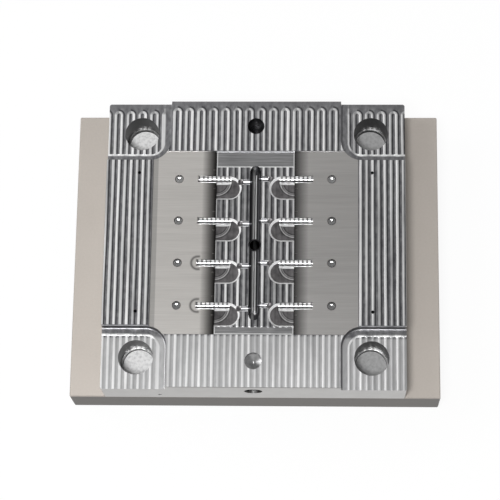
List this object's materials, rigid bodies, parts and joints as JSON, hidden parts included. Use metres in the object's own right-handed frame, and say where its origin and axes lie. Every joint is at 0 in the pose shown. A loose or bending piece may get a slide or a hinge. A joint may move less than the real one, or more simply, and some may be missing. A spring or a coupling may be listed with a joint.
{
  "type": "injection mould half",
  "caption": "Stationary half of a two-plate injection mould, parting face up, with milled cavities, a straight runner, guide bores and clamp wings.",
  "frame": {"origin": "middle of the locating ring's outer face plane under the plates, on which the mould half rests", "axes": "+X along the clamp plate's long side towards the right wing, +Y towards the back, +Z out of the parting face"},
  "size_m": [0.25, 0.2, 0.0725],
  "materials": {
    "clamp_steel": "matt ground",
    "plate_steel": "milled, bright cusps",
    "insert_steel": "milled, bright cusps",
    "ground_steel": "fine ground",
    "bushing_steel": "turned",
    "ring_steel": "turned",
    "screw_steel": "dark oxide",
    "pin_steel": "ground"
  },
  "bodies": {
    "root": {"clamp_plate": "clamp_steel", "cavity_plate": "plate_steel", "middle_insert": "insert_steel", "side_insert_left": "ground_steel", "side_insert_right": "ground_steel", "sprue_bushing": "bushing_steel", "locating_ring": "ring_steel", "side_insert_screws_left": "screw_steel", "side_insert_screws_right": "screw_steel", "clamp_screws": "screw_steel", "ring_screws": "screw_steel", "middle_insert_screws": "screw_steel", "plate_dowels": "pin_steel", "bushing_key": "pin_steel"}
  },
  "joints": []
}
